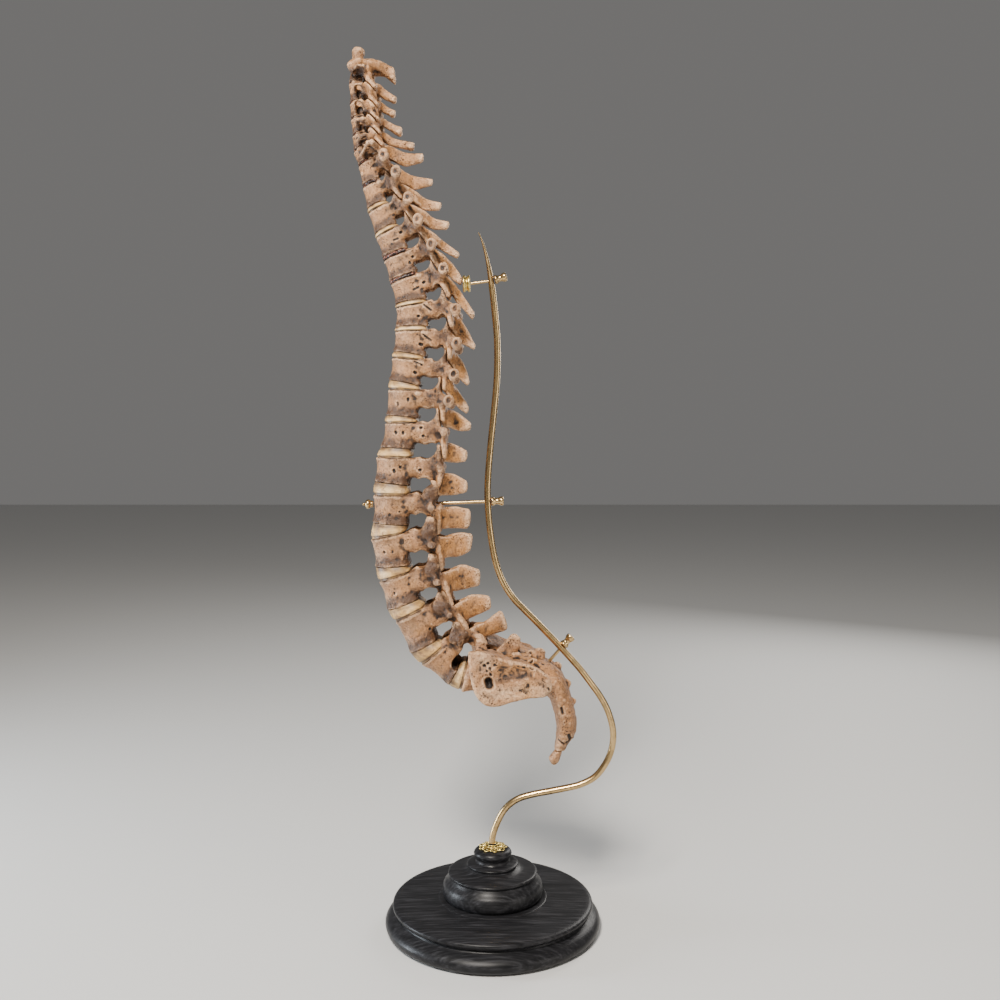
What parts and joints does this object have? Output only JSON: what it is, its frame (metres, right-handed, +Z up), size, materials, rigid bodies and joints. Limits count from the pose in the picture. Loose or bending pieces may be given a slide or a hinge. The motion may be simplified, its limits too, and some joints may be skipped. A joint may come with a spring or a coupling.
{
  "type": "mounted human spine, museum specimen",
  "caption": "Human spine from the second neck bone to the tail bone, each bone and disc its own piece, held by a curved brass rod on a turned black wooden base.",
  "frame": {"origin": "centre of the wooden base's flat underside, on the surface it stands on", "axes": "+Z up, -X towards the front of the body, -Y towards the body's left side, which the picture shows"},
  "size_m": [0.2354, 0.1878, 0.7734],
  "materials": {
    "bone": "aged dry bone, matt with a faint sheen on worn edges",
    "disc": "matt cream composition",
    "brass": "lacquered, slightly dulled",
    "black_wood": "ebonised and polished to a satin"
  },
  "bodies": {
    "root": {"axis_c2": "bone", "cervical_c3": "bone", "cervical_c4": "bone", "cervical_c5": "bone", "cervical_c6": "bone", "cervical_c7": "bone", "coccyx": "bone", "disc_c2_c3": "disc", "disc_c3_c4": "disc", "disc_c4_c5": "disc", "disc_c5_c6": "disc", "disc_c6_c7": "disc", "disc_c7_t1": "disc", "disc_l1_l2": "disc", "disc_l2_l3": "disc", "disc_l3_l4": "disc", "disc_l4_l5": "disc", "disc_l5_s1": "disc", "disc_t10_t11": "disc", "disc_t11_t12": "disc", "disc_t12_l1": "disc", "disc_t1_t2": "disc", "disc_t2_t3": "disc", "disc_t3_t4": "disc", "disc_t4_t5": "disc", "disc_t5_t6": "disc", "disc_t6_t7": "disc", "disc_t7_t8": "disc", "disc_t8_t9": "disc", "disc_t9_t10": "disc", "lumbar_l1": "bone", "lumbar_l2": "bone", "lumbar_l3": "bone", "lumbar_l4": "bone", "lumbar_l5": "bone", "sacrum": "bone", "stand_base": "black_wood", "stand_clamp": "brass", "stand_finial_front": "brass", "stand_finial_lower": "brass", "stand_finial_middle": "brass", "stand_finial_top": "brass", "stand_pin_lower": "brass", "stand_pin_middle": "brass", "stand_pin_top": "brass", "stand_rod": "brass", "stand_rosette": "brass", "thoracic_t1": "bone", "thoracic_t10": "bone", "thoracic_t11": "bone", "thoracic_t12": "bone", "thoracic_t2": "bone", "thoracic_t3": "bone", "thoracic_t4": "bone", "thoracic_t5": "bone", "thoracic_t6": "bone", "thoracic_t7": "bone", "thoracic_t8": "bone", "thoracic_t9": "bone"}
  },
  "joints": []
}
